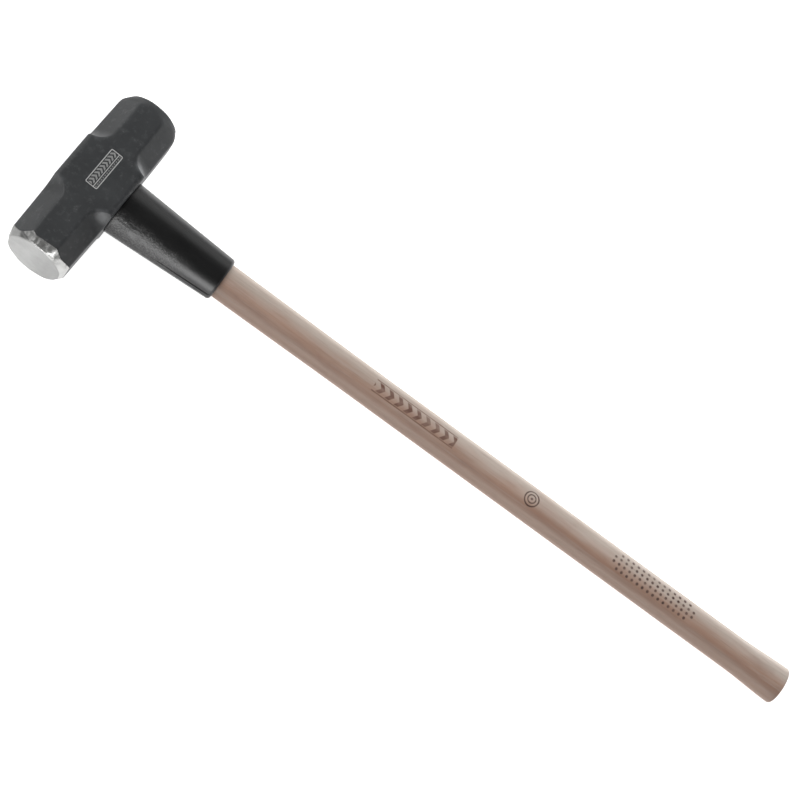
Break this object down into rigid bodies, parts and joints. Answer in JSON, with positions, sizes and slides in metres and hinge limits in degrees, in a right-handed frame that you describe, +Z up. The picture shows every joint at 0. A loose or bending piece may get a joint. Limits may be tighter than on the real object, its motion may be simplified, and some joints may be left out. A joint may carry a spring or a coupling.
{
  "type": "double-faced sledge hammer",
  "caption": "Heavy two-handed sledge hammer with an octagonal forged head, ground striking faces, a hickory handle and a black overstrike collar.",
  "frame": {"origin": "on the lower cheek's plane, straight below the centre of the eye", "axes": "+X along the handle from the head to the butt, +Y along the strike axis, +Z up out of the upper cheek, with the hammer lying on its lower cheek"},
  "size_m": [0.9029, 0.2024, 0.07],
  "materials": {
    "painted_steel": "dark grey satin paint, bare ground steel on both striking faces",
    "hickory": "fine sanded, clear sealed, burnt marks",
    "black_rubber": "moulded, soft sheen",
    "wedge_timber": "end grain, flush",
    "wedge_steel": "mill scale with bare edges"
  },
  "bodies": {
    "root": {"head": "painted_steel", "handle": "hickory", "overstrike_sleeve": "black_rubber", "timber_wedge": "wedge_timber", "steel_wedge_front": "wedge_steel", "steel_wedge_rear": "wedge_steel"}
  },
  "joints": []
}
